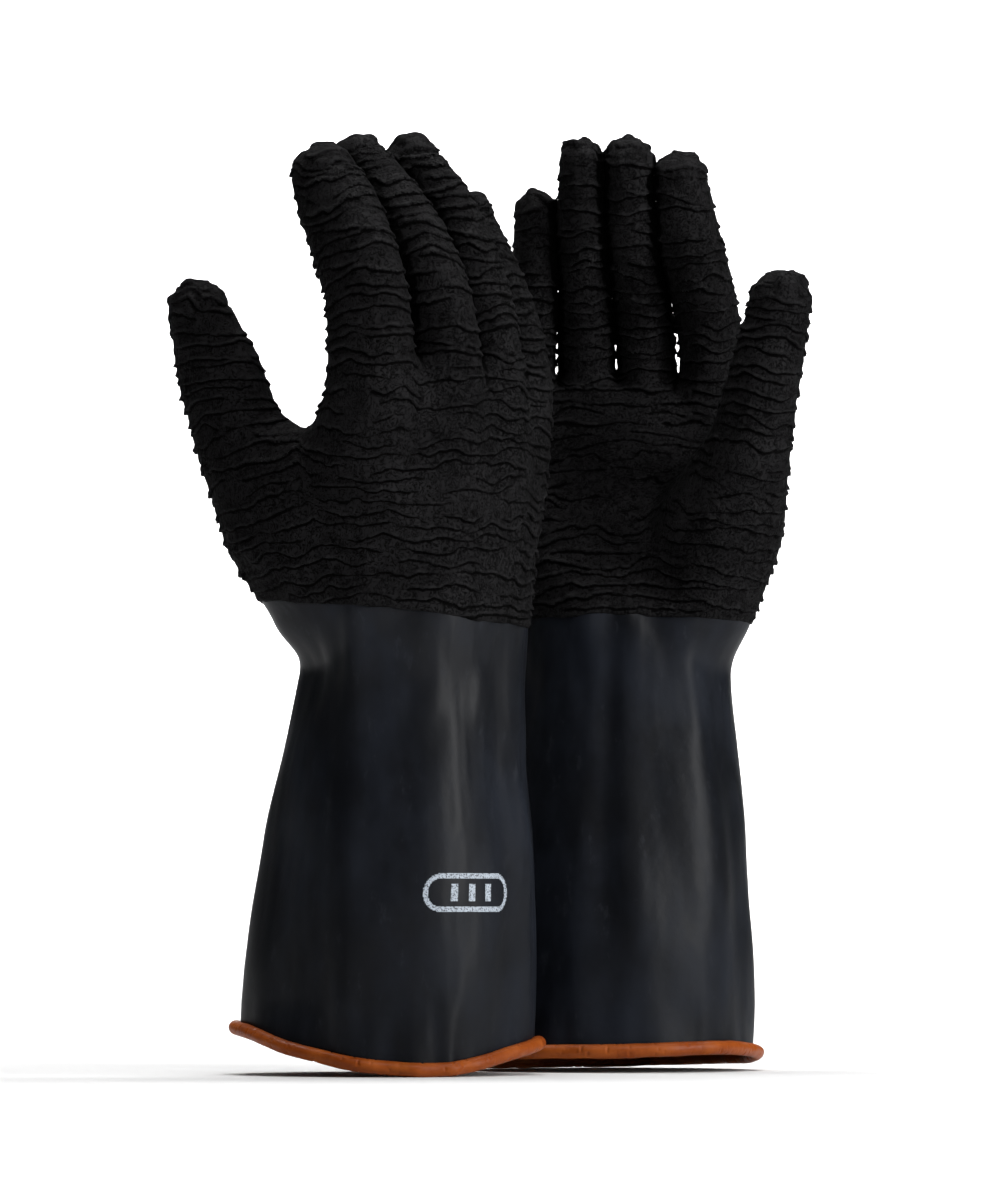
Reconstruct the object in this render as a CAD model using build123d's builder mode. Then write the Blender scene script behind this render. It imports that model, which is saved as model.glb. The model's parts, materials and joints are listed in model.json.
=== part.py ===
from build123d import *
from math import cos, radians, sin
import os

# A pair of black rubber gauntlet gloves that stand upright on their rolled mouths.
# Frame: +Z up, the origin is the centre of the pair's footprint, on the surface it stands on.
# Each glove has its own frame: its wrist is on the local Z axis, +X is its thumb side and
# -Y is its palm side. All lengths are in millimetres and all angles in degrees.

# ---- wall: an orange inner layer and a black outer layer
outer_wall = 1.2
lining_wall = 1.0
full_wall = outer_wall + lining_wall

# ---- rolled bead round the mouth
bead_radius = 2.8
bead_height = 2.5
bead_ring_radius = 55.2

# ---- cuff, from the bead up to the bend zone at the wrist
mouth_radius = 53.5
cuff_middle_height = 90.0
cuff_middle_half = (50.5, 49.5)
cuff_top_height = 136.0
cuff_top_half = (45.5, 41.0)

# ---- hand, from the wrist up to the roof that carries the fingers
hand_bottom_height = 171.0
hand_bottom_half = (43.5, 38.0)
hand_bottom_centre = (0.0, 3.0)
palm_height = 215.0
palm_half = (46.0, 32.0)
palm_centre = (-1.0, 13.0)
roof_height = 262.0
roof_half = (44.0, 11.0)
roof_centre = (1.0, 26.0)

# ---- digits: root centre on the roof, radius at the root, radius of the round tip
finger_roots = {
    "index": ((37.0, 24.0), 12.0, 11.0),
    "middle": ((12.5, 29.0), 12.0, 10.3),
    "ring": ((-11.7, 28.5), 11.5, 9.0),
    "little": ((-35.0, 22.0), 10.3, 8.2),
}
thumb_root = (50.0, -38.0, 243.0)
thumb_root_radius = 17.5
thumb_tip_radius = 13.0

# ---- rounded ridges inside the palm that carry each finger down to the wrist
ridge_foot_height = 186.0
ridge_foot_spread = 0.55
ridge_foot_depth = 12.0
ridge_foot_radius = 19.0
ridge_overrun = 1.2
thenar_foot = (20.0, -4.0, 180.0)
thenar_foot_radius = 20.0
thenar_middle = (41.0, -22.0, 214.0)
thenar_middle_radius = 25.0

# ---- bend zones: half-lengths below and above each pivot
finger_bend = (11.0, 9.0)
thumb_bend = (9.0, 9.0)

# ---- generic printed mark on the front glove's cuff
mark_height = 69.0
mark_side_angle = 33.0
mark_thickness = 0.15
mark_width = 36.0
mark_tall = 14.0
mark_line = 1.6
mark_bar = (3.0, 7.0)
mark_bar_gap = 7.0
mark_reach = 12.0
mark_round_slack = 0.1

# ---- each glove: where it stands, how it is turned, its mouth and where its digits end
gloves = {
    "front": {
        "stand": (-32.55, -42.47),
        "turn": 225.0,
        "mouth_centre": (4.0, -9.0),
        "cuff_middle_centre": (2.0, -4.0),
        "tips": {
            "thumb": (64.0, -49.0, 293.5),
            "index": (31.6, -15.0, 344.5),
            "middle": (9.0, -16.0, 349.3),
            "ring": (-12.0, -8.5, 350.6),
            "little": (-31.0, 8.0, 328.0),
        },
    },
    "rear": {
        "stand": (48.45, 49.53),
        "turn": 0.0,
        "mouth_centre": (-3.0, -9.0),
        "cuff_middle_centre": (-1.5, -4.0),
        "tips": {
            "thumb": (64.0, -47.0, 295.0),
            "index": (27.5, -10.0, 344.0),
            "middle": (4.5, -13.0, 350.0),
            "ring": (-15.0, -9.0, 350.6),
            "little": (-32.5, 7.0, 331.0),
        },
    },
}

os.makedirs("parts", exist_ok=True)


def save(body, name):
    """Labels a finished piece and writes it as one STEP file."""
    body.part.label = name
    export_step(body.part, f"parts/{name}.step")


def glove_plane(glove):
    """The glove's own frame."""
    turn = radians(glove["turn"])
    return Plane(origin=(*glove["stand"], 0), x_dir=(cos(turn), sin(turn), 0), z_dir=(0, 0, 1))


def axis_plane(base, foot, end):
    """A plane at foot, in the glove's frame, whose normal points at end."""
    start = base.from_local_coords(Vector(*foot))
    goal = base.from_local_coords(Vector(*end))
    return Plane(origin=start, z_dir=goal - start)


def oval_body(base, sections, inset):
    """A closed body through ovals, each (centre, half sizes, height), shrunk by the inset."""
    with BuildPart() as body:
        for centre, half, height in sections:
            origin = base.from_local_coords(Vector(*centre, height))
            with BuildSketch(Plane(origin=origin, x_dir=base.x_dir, z_dir=base.z_dir)):
                Ellipse(half[0] - inset, half[1] - inset)
        loft()
    return body


def layer(outside, inside):
    """What is left of one body when another is taken out of it."""
    with BuildPart() as shell:
        add(outside.part)
        add(inside.part, mode=Mode.SUBTRACT)
    return shell


def cuff_sections(glove):
    """The ovals of the cuff, from the mouth to the wrist."""
    return [
        (glove["mouth_centre"], (mouth_radius, mouth_radius), bead_height),
        (glove["cuff_middle_centre"], cuff_middle_half, cuff_middle_height),
        ((0, 0), cuff_top_half, cuff_top_height),
    ]


def make_bead(base, glove):
    """The rolled edge of the mouth, pressed flat where the glove stands on it."""
    centre = base.from_local_coords(Vector(*glove["mouth_centre"], bead_height))
    with BuildPart() as bead:
        with BuildSketch(Plane(origin=centre, x_dir=base.x_dir, z_dir=-base.y_dir)):
            with Locations((bead_ring_radius, 0)):
                Circle(bead_radius)
        revolve(axis=Axis(centre, (0, 0, 1)))
        split(bisect_by=Plane.XY, keep=Keep.TOP)
    return bead


def thumb_base(base, glove, inset):
    """The swelling at the thumb's root, shrunk by the inset and cut square to the thumb."""
    lengths = (
        (Vector(*thenar_middle) - Vector(*thenar_foot)).length,
        (Vector(*thumb_root) - Vector(*thenar_middle)).length,
    )
    over = thumb_root_radius
    end_radius = thumb_root_radius - (thenar_middle_radius - thumb_root_radius) * over / lengths[1]
    foot_up = (Align.CENTER, Align.CENTER, Align.MIN)
    with BuildPart() as swelling:
        with Locations(axis_plane(base, thenar_foot, thenar_middle)):
            Cone(thenar_foot_radius - inset, thenar_middle_radius - inset, lengths[0], align=foot_up)
        with Locations(axis_plane(base, thenar_middle, thumb_root)):
            Sphere(thenar_middle_radius - inset)
            Cone(thenar_middle_radius - inset, end_radius - inset, lengths[1] + over, align=foot_up)
        cut = axis_plane(base, thumb_root, glove["tips"]["thumb"])
        split(bisect_by=cut, keep=Keep.BOTTOM)
        split(bisect_by=base.offset(hand_bottom_height), keep=Keep.TOP)
    return swelling


def hand_core(base, glove, inset):
    """The hand's closed shape: palm, four finger ridges and thumb base, shrunk by the inset.

    The ridges and the thumb base keep their full length, so that a smaller core opens the
    way into each digit when it is taken out of a larger one.
    """
    sections = [
        (hand_bottom_centre, hand_bottom_half, hand_bottom_height),
        (palm_centre, palm_half, palm_height),
        (roof_centre, roof_half, roof_height - inset),
    ]
    palm = oval_body(base, sections, inset)
    swelling = thumb_base(base, glove, inset)
    with BuildPart() as core:
        add(palm.part)
        for (root_x, root_y), root_radius, _ in finger_roots.values():
            foot = (root_x * ridge_foot_spread, ridge_foot_depth, ridge_foot_height)
            root = (root_x, root_y, roof_height)
            top = tuple(a + (b - a) * ridge_overrun for a, b in zip(foot, root))
            length = (Vector(*top) - Vector(*foot)).length
            end_radius = ridge_foot_radius + (root_radius - ridge_foot_radius) * ridge_overrun
            with Locations(axis_plane(base, foot, top)):
                Cone(
                    ridge_foot_radius - inset,
                    end_radius - inset,
                    length,
                    align=(Align.CENTER, Align.CENTER, Align.MIN),
                )
        split(bisect_by=base.offset(roof_height), keep=Keep.BOTTOM)
        add(swelling.part)
    return core


def digit_wall(base, root, tip, radii, inner, outer, start):
    """A digit's wall between two insets: a cone with a round end, closed at the tip."""
    root_radius, tip_radius = radii
    plane = axis_plane(base, root, tip)
    length = (Vector(*tip) - Vector(*root)).length
    start_radius = root_radius + (tip_radius - root_radius) * start / length
    with BuildPart() as wall:
        with BuildSketch(Plane(origin=plane.origin, x_dir=plane.x_dir, z_dir=-plane.y_dir)):
            with BuildLine():
                outer_start = (start_radius - outer, start)
                outer_end = (tip_radius - outer, length)
                outer_top = (0, length + tip_radius - outer)
                inner_top = (0, length + tip_radius - inner)
                inner_end = (tip_radius - inner, length)
                inner_start = (start_radius - inner, start)
                Line(outer_start, outer_end)
                RadiusArc(outer_end, outer_top, outer - tip_radius)
                Line(outer_top, inner_top)
                RadiusArc(inner_top, inner_end, tip_radius - inner)
                Line(inner_end, inner_start)
                Line(inner_start, outer_start)
            make_face()
        revolve(axis=Axis(plane.origin, plane.z_dir))
    return wall


def bend_ring(base, root, tip, radii, stop, below):
    """The bend zone at a digit's root: a full-wall ring from the hand to the digit."""
    root_radius, tip_radius = radii
    plane = axis_plane(base, root, tip)
    slope = (tip_radius - root_radius) / (Vector(*tip) - Vector(*root)).length
    low_radius = root_radius - slope * below
    high_radius = root_radius + slope * stop
    with BuildPart() as ring:
        with BuildSketch(Plane(origin=plane.origin, x_dir=plane.x_dir, z_dir=-plane.y_dir)):
            with BuildLine():
                Polyline(
                    (low_radius, -below),
                    (high_radius, stop),
                    (high_radius - full_wall, stop),
                    (low_radius - full_wall, -below),
                    close=True,
                )
            make_face()
        revolve(axis=Axis(plane.origin, plane.z_dir))
        if below > 0:
            split(bisect_by=base.offset(roof_height), keep=Keep.TOP)
    return ring


def make_mark(base, glove):
    """A flat generic print, wrapped on the cuff: a rounded frame with three bars."""
    sections = cuff_sections(glove)
    film = layer(oval_body(base, sections, -mark_thickness), oval_body(base, sections, 0))
    side = radians(mark_side_angle)
    out = Vector(sin(side), -cos(side), 0)
    share = (mark_height - bead_height) / (cuff_middle_height - bead_height)
    ends = zip(glove["mouth_centre"], glove["cuff_middle_centre"])
    middle = base.from_local_coords(Vector(*[a + (b - a) * share for a, b in ends], mark_height))
    start = middle + out * (mouth_radius + mark_reach)
    face = Plane(origin=start, x_dir=(cos(side), sin(side), 0), z_dir=out)
    inner_width = mark_width - 2 * mark_line
    inner_tall = mark_tall - 2 * mark_line
    with BuildPart() as mark:
        add(film.part)
        with BuildSketch(face) as drawing:
            RectangleRounded(mark_width, mark_tall, mark_tall / 2 - mark_round_slack)
            corner = inner_tall / 2 - mark_round_slack
            RectangleRounded(inner_width, inner_tall, corner, mode=Mode.SUBTRACT)
            with GridLocations(mark_bar_gap, 0, 3, 1):
                Rectangle(*mark_bar)
        extrude(amount=-(mark_reach + mouth_radius / 2), mode=Mode.INTERSECT)
    return mark


for name, glove in gloves.items():
    base = glove_plane(glove)

    # mouth and cuff
    bead = make_bead(base, glove)
    save(bead, f"{name}_rolled_bead")
    cuff_outside = oval_body(base, cuff_sections(glove), 0)
    cuff_between = oval_body(base, cuff_sections(glove), outer_wall)
    cuff_inside = oval_body(base, cuff_sections(glove), full_wall)
    cuff_outer = layer(layer(cuff_outside, cuff_between), bead)
    save(cuff_outer, f"{name}_cuff_outer")
    cuff_lining = layer(layer(cuff_between, cuff_inside), bead)
    save(cuff_lining, f"{name}_cuff_lining")

    # bend zone at the wrist
    wrist_sections = [
        ((0, 0), cuff_top_half, cuff_top_height),
        (hand_bottom_centre, hand_bottom_half, hand_bottom_height),
    ]
    wrist = layer(oval_body(base, wrist_sections, 0), oval_body(base, wrist_sections, full_wall))
    save(wrist, f"{name}_wrist_bend")

    # hand
    hand_outside = hand_core(base, glove, 0)
    hand_between = hand_core(base, glove, outer_wall)
    hand_inside = hand_core(base, glove, full_wall)
    save(layer(hand_outside, hand_between), f"{name}_hand_outer")
    save(layer(hand_between, hand_inside), f"{name}_hand_lining")

    # digits
    roots = {}
    for digit, (place, low, high) in finger_roots.items():
        roots[digit] = ((*place, roof_height), (low, high))
    roots["thumb"] = (thumb_root, (thumb_root_radius, thumb_tip_radius))
    for digit, (root, radii) in roots.items():
        tip = glove["tips"][digit]
        bend = thumb_bend if digit == "thumb" else finger_bend
        below = 0 if digit == "thumb" else bend[0]
        start = sum(bend)
        save(bend_ring(base, root, tip, radii, start, below), f"{name}_{digit}_bend")
        save(digit_wall(base, root, tip, radii, outer_wall, 0, start), f"{name}_{digit}_outer")
        lining = digit_wall(base, root, tip, radii, full_wall, outer_wall, start)
        save(lining, f"{name}_{digit}_lining")
        share = bend[0] / (Vector(*tip) - Vector(*root)).length
        pivot = base.from_local_coords(Vector(*root) + (Vector(*tip) - Vector(*root)) * share)
        print(f"{name} {digit} pivot {pivot.X:.2f} {pivot.Y:.2f} {pivot.Z:.2f}")

save(make_mark(glove_plane(gloves["front"]), gloves["front"]), "front_cuff_mark")
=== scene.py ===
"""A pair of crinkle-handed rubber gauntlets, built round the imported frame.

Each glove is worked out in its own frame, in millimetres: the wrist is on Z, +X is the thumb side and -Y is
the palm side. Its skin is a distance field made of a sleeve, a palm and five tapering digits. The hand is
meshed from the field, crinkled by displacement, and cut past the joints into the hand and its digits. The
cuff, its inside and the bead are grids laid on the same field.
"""

import json
import math

import bpy
import numpy as np
import openvdb
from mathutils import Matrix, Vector


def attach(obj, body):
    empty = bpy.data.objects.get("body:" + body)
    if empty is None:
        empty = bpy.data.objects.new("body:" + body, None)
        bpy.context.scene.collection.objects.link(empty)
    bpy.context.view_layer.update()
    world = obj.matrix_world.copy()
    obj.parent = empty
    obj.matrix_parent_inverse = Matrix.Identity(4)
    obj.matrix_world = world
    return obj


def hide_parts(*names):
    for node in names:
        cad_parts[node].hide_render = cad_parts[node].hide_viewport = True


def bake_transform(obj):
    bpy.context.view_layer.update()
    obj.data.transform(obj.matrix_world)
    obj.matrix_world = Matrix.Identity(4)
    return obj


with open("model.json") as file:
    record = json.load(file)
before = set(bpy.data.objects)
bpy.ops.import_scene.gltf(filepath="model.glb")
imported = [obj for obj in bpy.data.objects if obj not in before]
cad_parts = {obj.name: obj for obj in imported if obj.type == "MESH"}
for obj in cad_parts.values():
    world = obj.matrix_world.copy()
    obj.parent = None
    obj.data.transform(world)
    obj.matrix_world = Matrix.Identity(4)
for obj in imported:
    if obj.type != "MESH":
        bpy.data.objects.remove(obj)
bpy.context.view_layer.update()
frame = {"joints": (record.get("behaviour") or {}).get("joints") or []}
JOINTS = {joint["name"]: joint for joint in frame["joints"]}
MM = 0.001
DIGITS = ("thumb", "index", "middle", "ring", "little")

# ---- mesh density, mm
SKIN_VOXEL = 0.6
LINING_VOXEL = 1.6
CUFF_AROUND = 480
CUFF_STEP = 0.9

# ---- the lining, mm: how deep it lies, and how much deeper where a digit bends
LINING_DEPTH = 2.1
LINING_SLACK = 3.6
LINING_SLACK_REACH = 14.0

# ---- crinkle of the coat, mm. WANDER holds the waves of each ridge: length, height, change of seed. SAG
# ---- holds the slow waves of all ridges together: length, length upwards, height, change of seed.
STEP_HEIGHT = 0.75
RIDGE_SPACING = 4.7
RIDGE_HEIGHT = 1.2
RIDGE_DROOP = 0.5
RIDGE_UPPER_SLOPE = 0.95
RIDGE_LOWER_SLOPE = 0.4
GROOVE_BELOW = 0.95
GROOVE_WIDTH = 0.42
GROOVE_DEPTH = 0.35
SWELL = 0.35
CREASE_HEIGHT = 0.16
NET_HEIGHT = 0.2
TIP_KNOBS = 1.8
TIP_SAG = 5.0
TIP_ZONE = (-6.0, 8.0)
WANDER = ((15.0, 2.1, 2), (4.5, 0.9, 3), (1.8, 0.35, 4))
SAG = ((34.0, 40.0, 2.6, 0), (10.0, 13.0, 2.0, 1))

# ---- how far the ridges turn square to a digit. THUMB_SIDE is where the thumb's share of that fades out:
# ---- the distance to the thumb less the distance to the rest of the hand, mm. The fingers' share comes in
# ---- over TILT_HEIGHTS, mm.
THUMB_TILT = 0.35
THUMB_SIDE = (-3.0, 6.0)
FINGER_TILT = 0.2
TILT_HEIGHTS = (262.0, 285.0)

# ---- painted light and shade of the coat, in order: how strongly it follows the crepe net, and how dark the painted shadow in a groove and the painted shade in a crevice between digits get, against 1 for the painted highlight on the top of a ridge
NET_PAINTED_SHADING = 0.25
GROOVE_PAINTED_SHADOW = 2.2
CREVICE_PAINTED_SHADE = 3.0

# ---- lower edge of the coat, mm: how it swells, sinks under and is trimmed
EDGE_BLEND = (-0.5, 0.5)
EDGE_CALM = (-0.2, 9.0)
EDGE_SHARE = 0.4
EDGE_SINK = 0.9
EDGE_TRIM = 1.6
DROOP_FROM_EDGE = (2.0, 5.0)

# ---- where each digit is cut from the hand, and a stretch of the digit whose middle is where its lining sags deepest, mm past its pivot
SEAM = {"thumb": -7.0, "finger": 6.0}
TURN = {"thumb": (-5.0, 13.0), "finger": (9.0, 24.0)}

# ---- folds of the sleeve: height in mm, fineness round it, length in mm, change of seed
LONG_FOLDS = (1.7, 1.7, 105.0, 0)
FLUTES = (0.35, 4.4, 90.0, 1)
FINE_FLUTES = (0.12, 11.0, 20.0, 2)
RIM_FOLDS = (0.9, 6.5, 60.0, 3)
WRIST_FOLDS = (0.5, 5.0, 18.0, 4)
SLANTED_FOLDS = (0.75, 3.0, 36.0, 5)
SLANT_LENGTH = 75.0
RIM_FADE = (8.0, 55.0)
WRIST_FOLD_HEIGHT = 152.0
WRIST_FOLD_REACH = 24.0
HAND_FADE = (172.0, 198.0)

# ---- cuff, mm: tops of its two walls, how far the outer one dives under the coat, the heights over which
# ---- the field takes over from the plain sleeve, and where the hand's skin and lining start
CUFF_TOP = 187.0
INSIDE_TOP = 181.0
CUFF_DIVE = 1.3
DIVE_FROM_EDGE = (0.6, 2.0)
DIVE_CENTRE = (0.0, 3.5)
FIELD_HEIGHTS = (142.0, 157.0)
SKIN_BOTTOM = 162.0
LINING_BOTTOM = 168.0
LINING_TRIM = 176.0

# ---- box that is meshed, mm, and the distances beyond which no surface is looked for
MESH_LOW = (-62.0, -74.0)
MESH_HIGH = (86.0, 66.0, 368.0)
NEAR_SLEEVE = 14.0
NEAR_DIGIT = (16.0, 22.0)
DIGIT_ENDS = (34.0, 20.0)
FIELD_LIMIT = 3.0
SLAB = 48

# ---- each glove, in mm and degrees. lift: where across the mouth it rests, and how far its left side,
# ---- right side and near side stand off the floor. edge: height of the coat's edge, its swing and where it
# ---- peaks. creases: angle, height and width of upright creases of the cuff. calm: a patch of the palm with
# ---- lower ridges (x, z, half width, half height, share taken off). webs: where the fingers part. sections:
# ---- height, centre x, centre y, half width, half depth. rays and tips: x, y, z, half width, half depth.
GLOVES = {
    "front": {
        "seed": 11,
        "lift": (0.3, 15.0, 9.0, 0.0),
        "edge": (174.5, 4.5, -45.0),
        "creases": (
            (-12.0, -4.2, 22.0),
            (17.0, 2.6, 8.0),
            (44.0, -0.9, 8.0),
            (66.0, 0.9, 13.0),
            (103.0, -1.3, 13.0),
            (121.0, 1.1, 7.0),
        ),
        "palm_top": 267.0,
        "calm": (2.0, 228.0, 26.0, 22.0, 0.4),
        "webs": (255.0, 282.0),
        "sections": (
            (2.5, 4.0, -9.0, 54.6, 54.6),
            (46.0, 3.2, -7.2, 54.2, 54.2),
            (90.0, 2.0, -4.0, 50.8, 50.0),
            (120.0, 1.0, -2.0, 46.6, 44.0),
            (150.0, 0.0, 1.0, 43.8, 40.2),
        ),
        "rays": {
            "thumb": (
                (32.5, -14.5, 181.0, 21.5, 21.5),
                (42.5, -24.0, 212.0, 24.0, 24.0),
                (51.5, -39.0, 243.0, 16.0, 18.0),
            ),
            "index": ((39.0, 16.0, 238.0, 15.0, 17.5), (39.5, 19.5, 264.0, 13.2, 17.6)),
        },
        "tips": {
            "thumb": ((57.5, -47.5, 273.0, 12.6, 16.0), (62.2, -51.0, 290.3, 9.6, 11.2)),
            "index": (
                (36.4, 13.0, 298.0, 12.2, 16.8),
                (33.5, -3.0, 326.0, 11.7, 15.6),
                (30.4, -15.0, 340.8, 10.4, 13.0),
            ),
            "middle": (
                (12.4, 21.0, 302.0, 11.5, 15.4),
                (10.8, 0.5, 328.0, 11.0, 14.4),
                (10.0, -18.5, 347.4, 9.0, 11.2),
            ),
            "ring": (
                (-12.0, 19.5, 303.0, 10.9, 14.6),
                (-12.0, 6.5, 327.0, 10.5, 13.6),
                (-11.5, -10.5, 348.8, 8.6, 10.6),
            ),
            "little": (
                (-34.0, 14.5, 296.0, 9.6, 12.2),
                (-32.8, 7.0, 313.0, 9.0, 11.2),
                (-31.5, -0.5, 328.5, 7.8, 9.2),
            ),
        },
    },
    "rear": {
        "seed": 47,
        "lift": (-0.6, 0.0, 2.5, 5.2),
        "edge": (174.0, 3.0, -100.0),
        "creases": (
            (-97.0, -1.7, 7.0),
            (-82.0, 1.0, 8.0),
            (-50.0, 1.7, 11.0),
            (-35.0, -1.4, 8.0),
            (-17.0, 0.8, 8.0),
        ),
        "palm_top": 268.0,
        "calm": (4.0, 228.0, 30.0, 24.0, 0.7),
        "webs": (256.0, 283.0),
        "sections": (
            (2.5, -1.6, -9.0, 52.8, 53.4),
            (46.0, -0.8, -7.0, 52.4, 53.0),
            (90.0, -0.4, -4.0, 50.2, 49.5),
            (120.0, 0.6, -2.0, 46.9, 44.0),
            (150.0, 1.4, 1.0, 44.4, 40.2),
        ),
        "rays": {},
        "tips": {
            "thumb": ((57.0, -45.0, 273.0, 12.8, 15.8), (62.2, -47.5, 296.8, 11.2, 12.5)),
            "index": (
                (35.0, 13.5, 300.0, 11.8, 14.8),
                (29.0, 0.0, 322.0, 11.8, 14.0),
                (24.4, -10.0, 348.2, 9.8, 11.2),
            ),
            "middle": (
                (10.0, 19.5, 300.0, 10.9, 14.4),
                (6.4, 4.0, 324.0, 10.2, 12.8),
                (4.4, -10.5, 354.4, 9.0, 10.6),
            ),
            "ring": (
                (-12.4, 19.5, 300.0, 10.4, 13.6),
                (-13.4, 6.0, 324.0, 9.3, 12.0),
                (-14.2, -8.0, 355.2, 8.0, 9.8),
            ),
            "little": (
                (-33.6, 18.0, 297.0, 9.4, 12.0),
                (-32.2, 13.0, 315.0, 8.8, 11.0),
                (-31.8, 7.5, 337.0, 7.6, 9.0),
            ),
        },
    },
}

# ---- sections of the palm, above the sleeve
PALM_SECTIONS = (
    (171.0, 0.0, 3.5, 43.5, 39.5),
    (195.0, -1.0, 8.0, 45.0, 35.0),
    (222.0, -1.5, 15.0, 45.5, 28.0),
    (248.0, 0.5, 22.0, 45.0, 18.0),
    (274.0, 1.0, 27.0, 40.0, 10.0),
)
PALM_TOP_BLEND = 7.0

# ---- the rays of the hand below each digit's root: x, y, z, half width, half depth, mm. The foot of a
# ---- finger's ray has a share of its x instead.
RAY_FOOT = (0.62, 13.0, 192.0, 16.0, 18.0)
RAYS = {
    "thumb": (
        (30.0, -12.0, 181.0, 21.0, 21.0),
        (40.0, -21.5, 212.0, 23.5, 23.5),
        (50.5, -38.0, 243.0, 15.6, 17.6),
    ),
    "index": ((33.5, 22.0, 238.0, 13.6, 16.0), (37.0, 24.0, 266.0, 11.6, 15.8)),
    "middle": ((11.5, 28.5, 238.0, 13.2, 15.5), (12.6, 31.5, 266.0, 11.2, 15.4)),
    "ring": ((-11.0, 28.0, 238.0, 13.2, 15.0), (-11.6, 30.5, 266.0, 10.8, 14.6)),
    "little": ((-32.0, 21.5, 240.0, 13.4, 14.5), (-34.5, 24.0, 268.0, 9.8, 12.8)),
}
TIP_LENGTH = 1.12

# ---- how widely the parts of the field run into each other, mm
PALM_BLEND = 9.0
THUMB_BLEND = 32.0
THUMB_WEB = (254.0, 290.0)
RAY_BLEND = 8.0
WEB_BLEND = 0.6
FINGER_GAP = 0.9
# how near a neighbouring digit must come, mm, for painted shade to fall in the crevice between digits
CREVICE_SHADE_REACH = 6.0

# ---- working values of the field, mm
TABLE_STEP = 0.25
FAR = 40.0
SEARCH_FROM = 76.0
SEARCH_STEPS = 46

# ---- rolled bead, mm
BEAD_RADIUS = 2.8
BEAD_OUT = 1.7
BEAD_FLOOR = 2.55
BEAD_SIDES = 28
BEAD_FLATNESS = 0.97
BEAD_NICK = 0.34
BEAD_WAVE = 0.2

# ---- printed mark, mm and degrees: height, direction from the viewer's side, sizes
MARK_HEIGHT = 69.0
MARK_SIDE = 35.0
MARK_SIZE = (41.0, 14.5)
MARK_LINE = 1.8
MARK_BAR = (3.5, 7.0)
MARK_BAR_GAP = 8.0
MARK_CELL = 0.5
MARK_LIFT = 0.12
MARK_RADIUS = 52.0


# ------------------------------------------------------------------ numbers
def smoothstep(low, high, value):
    t = np.clip((value - low) / (high - low), 0.0, 1.0)
    return t * t * (3.0 - 2.0 * t)


def smooth_min(a, b, reach):
    """The lesser of two fields, rounded where they are within reach of each other."""
    near = np.maximum(reach - np.abs(a - b), 0.0) / reach
    return np.minimum(a, b) - near * near * reach * 0.25


def lattice(x, y, z, seed):
    """A repeatable random number from -1 to 1 for each lattice cell."""
    mixed = (x * 73856093) ^ (y * 19349663) ^ (z * 83492791) ^ (seed * 26544357)
    mixed = (mixed ^ (mixed >> 13)) * 1274126177
    mixed = mixed ^ (mixed >> 16)
    return (mixed & 0xFFFF) / 32767.5 - 1.0


def noise(x, y, z, seed):
    """Smooth noise from -1 to 1, with cells of size 1."""
    corner = [np.floor(v) for v in (x, y, z)]
    part = [v - c for v, c in zip((x, y, z), corner)]
    part = [p * p * p * (p * (p * 6.0 - 15.0) + 10.0) for p in part]
    cell = [c.astype(np.int64) for c in corner]
    total = np.zeros_like(part[0])
    for dx in (0, 1):
        for dy in (0, 1):
            for dz in (0, 1):
                share = (part[0] if dx else 1 - part[0]) * (part[1] if dy else 1 - part[1])
                share = share * (part[2] if dz else 1 - part[2])
                total += share * lattice(cell[0] + dx, cell[1] + dy, cell[2] + dz, seed)
    return total


def through(knots, at):
    """Smooth curves through knots, whose first column is the position."""
    table = np.array(knots, float)
    place, value = table[:, 0], table[:, 1:]
    slope = np.gradient(value, place, axis=0)
    i = np.clip(np.searchsorted(place, at) - 1, 0, len(place) - 2)
    gap = (place[i + 1] - place[i])[..., None]
    t = np.clip((at - place[i])[..., None] / gap, 0.0, 1.0)
    rise = (2 * t**3 - 3 * t**2 + 1) * value[i] + (3 * t**2 - 2 * t**3) * value[i + 1]
    return rise + gap * ((t**3 - 2 * t**2 + t) * slope[i] + (t**3 - t**2) * slope[i + 1])


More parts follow.
